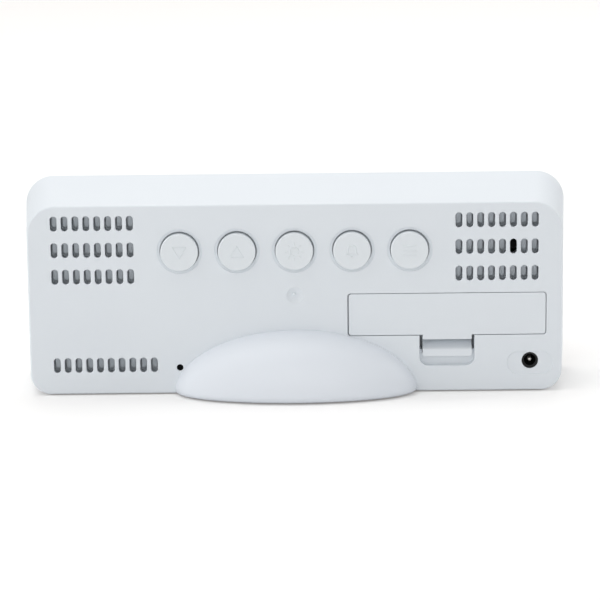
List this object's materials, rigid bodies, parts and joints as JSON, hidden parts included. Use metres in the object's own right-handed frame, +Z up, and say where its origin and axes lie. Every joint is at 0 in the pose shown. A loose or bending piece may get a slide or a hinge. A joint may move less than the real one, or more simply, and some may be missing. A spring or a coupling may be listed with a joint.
{
  "type": "digital alarm clock",
  "caption": "Low, wide desk alarm clock in a one-piece shell with a mirror display, round rear keys, a latched battery door, a power socket and a domed rear foot.",
  "frame": {"origin": "middle of the whole footprint, foot included, on the surface that it stands on", "axes": "+X to the right as seen from the display side, +Y from the display to the rear keys, +Z up"},
  "size_m": [0.173, 0.0486, 0.0645],
  "materials": {
    "shell_abs": "fine satin moulded ABS",
    "key_abs": "satin moulded ABS",
    "foot_abs": "smooth satin ABS",
    "mirror_lens": "dark one-way mirror acrylic, polished",
    "black_foam": "foam tape",
    "frame_plastic": "moulded ABS",
    "steel": "zinc plated",
    "diffuser_film": "milky film",
    "reflector_plastic": "white moulded",
    "led_resin": "clear resin over phosphor",
    "board": "green solder mask",
    "black_epoxy": "moulded epoxy",
    "grey_cable": "flat cable jacket",
    "nickel": "nickel plated spring steel",
    "red_wire": "PVC insulation",
    "black_wire": "PVC insulation",
    "jack_plastic": "moulded nylon",
    "mic_can": "drawn can",
    "black_rubber": "silicone",
    "grey_rubber": "silicone"
  },
  "bodies": {
    "clock": {"rear_shell": "shell_abs", "front_lens": "mirror_lens", "lens_tape": "black_foam", "display_frame": "frame_plastic", "frame_screws": "steel", "segment_diffuser": "diffuser_film", "segment_reflector": "reflector_plastic", "segment_leds": "led_resin", "main_pcb": "board", "pcb_screws": "steel", "control_chip": "black_epoxy", "buzzer": "black_epoxy", "key_pcb": "board", "key_pcb_screws": "steel", "tact_switches": "black_epoxy", "key_ribbon": "grey_cable", "battery_spring": "nickel", "battery_plate": "nickel", "battery_leads": "red_wire", "dc_jack": "jack_plastic", "dc_pin": "nickel", "jack_leads": "black_wire", "microphone": "mic_can", "mic_sleeve": "black_rubber", "temperature_sensor": "black_epoxy", "rear_foot": "foot_abs", "foot_screws": "steel", "rubber_pads": "grey_rubber"},
    "down_key": {"button_down": "key_abs", "plunger_down": "black_epoxy"},
    "up_key": {"button_up": "key_abs", "plunger_up": "black_epoxy"},
    "light_key": {"button_light": "key_abs", "plunger_light": "black_epoxy"},
    "alarm_key": {"button_alarm": "key_abs", "plunger_alarm": "black_epoxy"},
    "mode_key": {"button_mode": "key_abs", "plunger_mode": "black_epoxy"},
    "battery_lid": {"battery_door": "shell_abs", "door_latch": "shell_abs"}
  },
  "joints": [
    {"name": "down_press", "type": "slide", "parent": "clock", "child": "down_key", "axis": [0, -1, 0], "range_m": [0, 0.0005], "stiffness_N_per_m": 3000},
    {"name": "up_press", "type": "slide", "parent": "clock", "child": "up_key", "axis": [0, -1, 0], "range_m": [0, 0.0005], "stiffness_N_per_m": 3000},
    {"name": "light_press", "type": "slide", "parent": "clock", "child": "light_key", "axis": [0, -1, 0], "range_m": [0, 0.0005], "stiffness_N_per_m": 3000},
    {"name": "alarm_press", "type": "slide", "parent": "clock", "child": "alarm_key", "axis": [0, -1, 0], "range_m": [0, 0.0005], "stiffness_N_per_m": 3000},
    {"name": "mode_press", "type": "slide", "parent": "clock", "child": "mode_key", "axis": [0, -1, 0], "range_m": [0, 0.0005], "stiffness_N_per_m": 3000},
    {"name": "battery_door_hinge", "type": "hinge", "parent": "clock", "child": "battery_lid", "pos_m": [-0.0476, 0.0087, 0.0318], "axis": [1, 0, 0], "range_deg": [0, 75], "deforming": ["door_latch"]}
  ]
}
